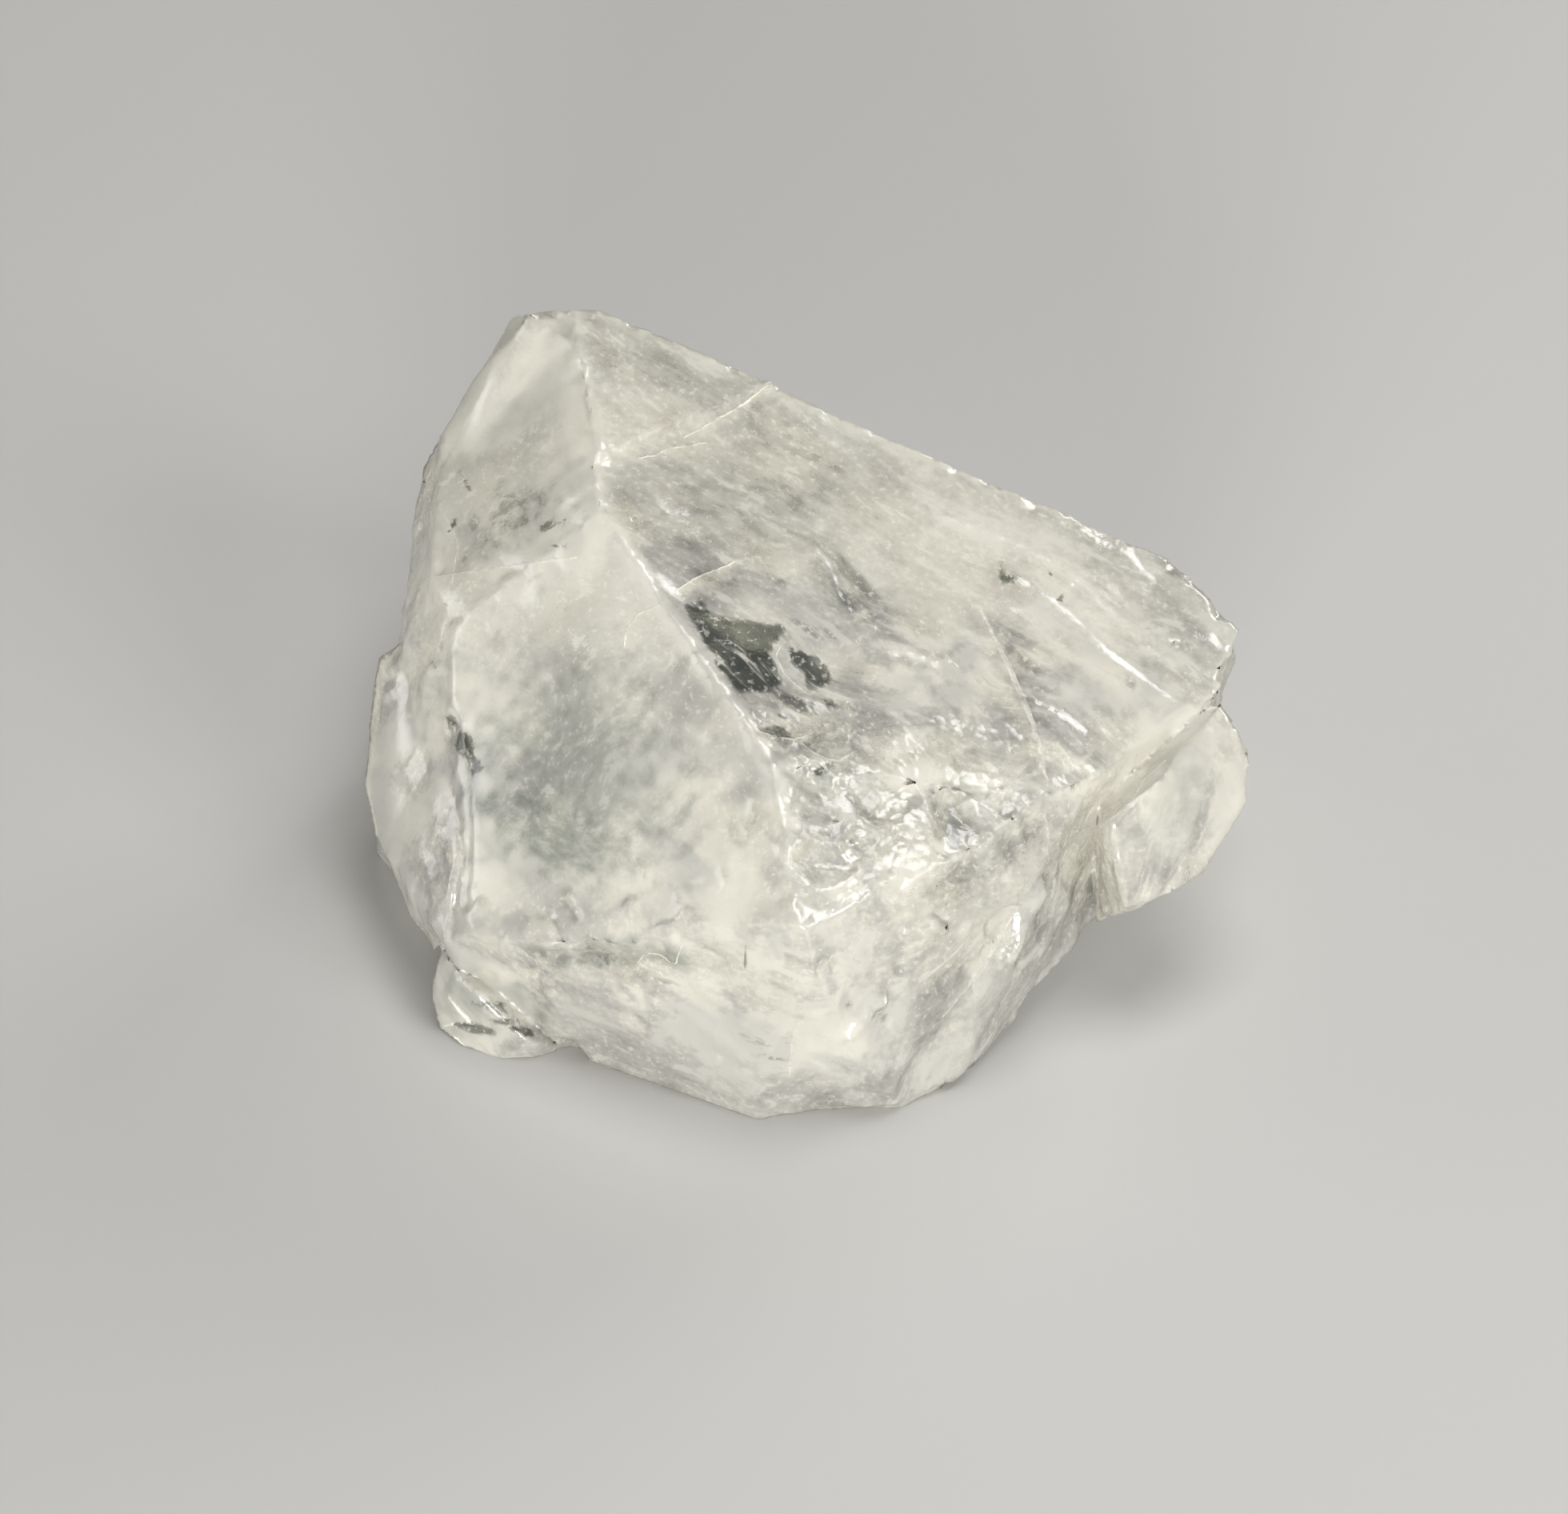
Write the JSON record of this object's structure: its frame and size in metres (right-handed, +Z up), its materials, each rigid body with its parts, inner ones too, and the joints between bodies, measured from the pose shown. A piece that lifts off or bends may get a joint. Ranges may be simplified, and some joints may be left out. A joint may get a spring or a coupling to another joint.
{
  "type": "topaz crystal",
  "caption": "Rough colourless topaz crystal: a broken, see-through fragment with smooth cleaved faces, a sharp ridge, conchoidal scars and a flat cleavage base to rest on",
  "frame": {"origin": "middle of the bounding box, on the flat base", "axes": "+Z up from the base, +X to the right along the longest side, +Y to the back"},
  "size_m": [0.0396, 0.0334, 0.0231],
  "materials": {
    "topaz": "rough broken clear crystal, part glassy and part frosted"
  },
  "bodies": {
    "root": {"topaz_crystal": "topaz"}
  },
  "joints": []
}
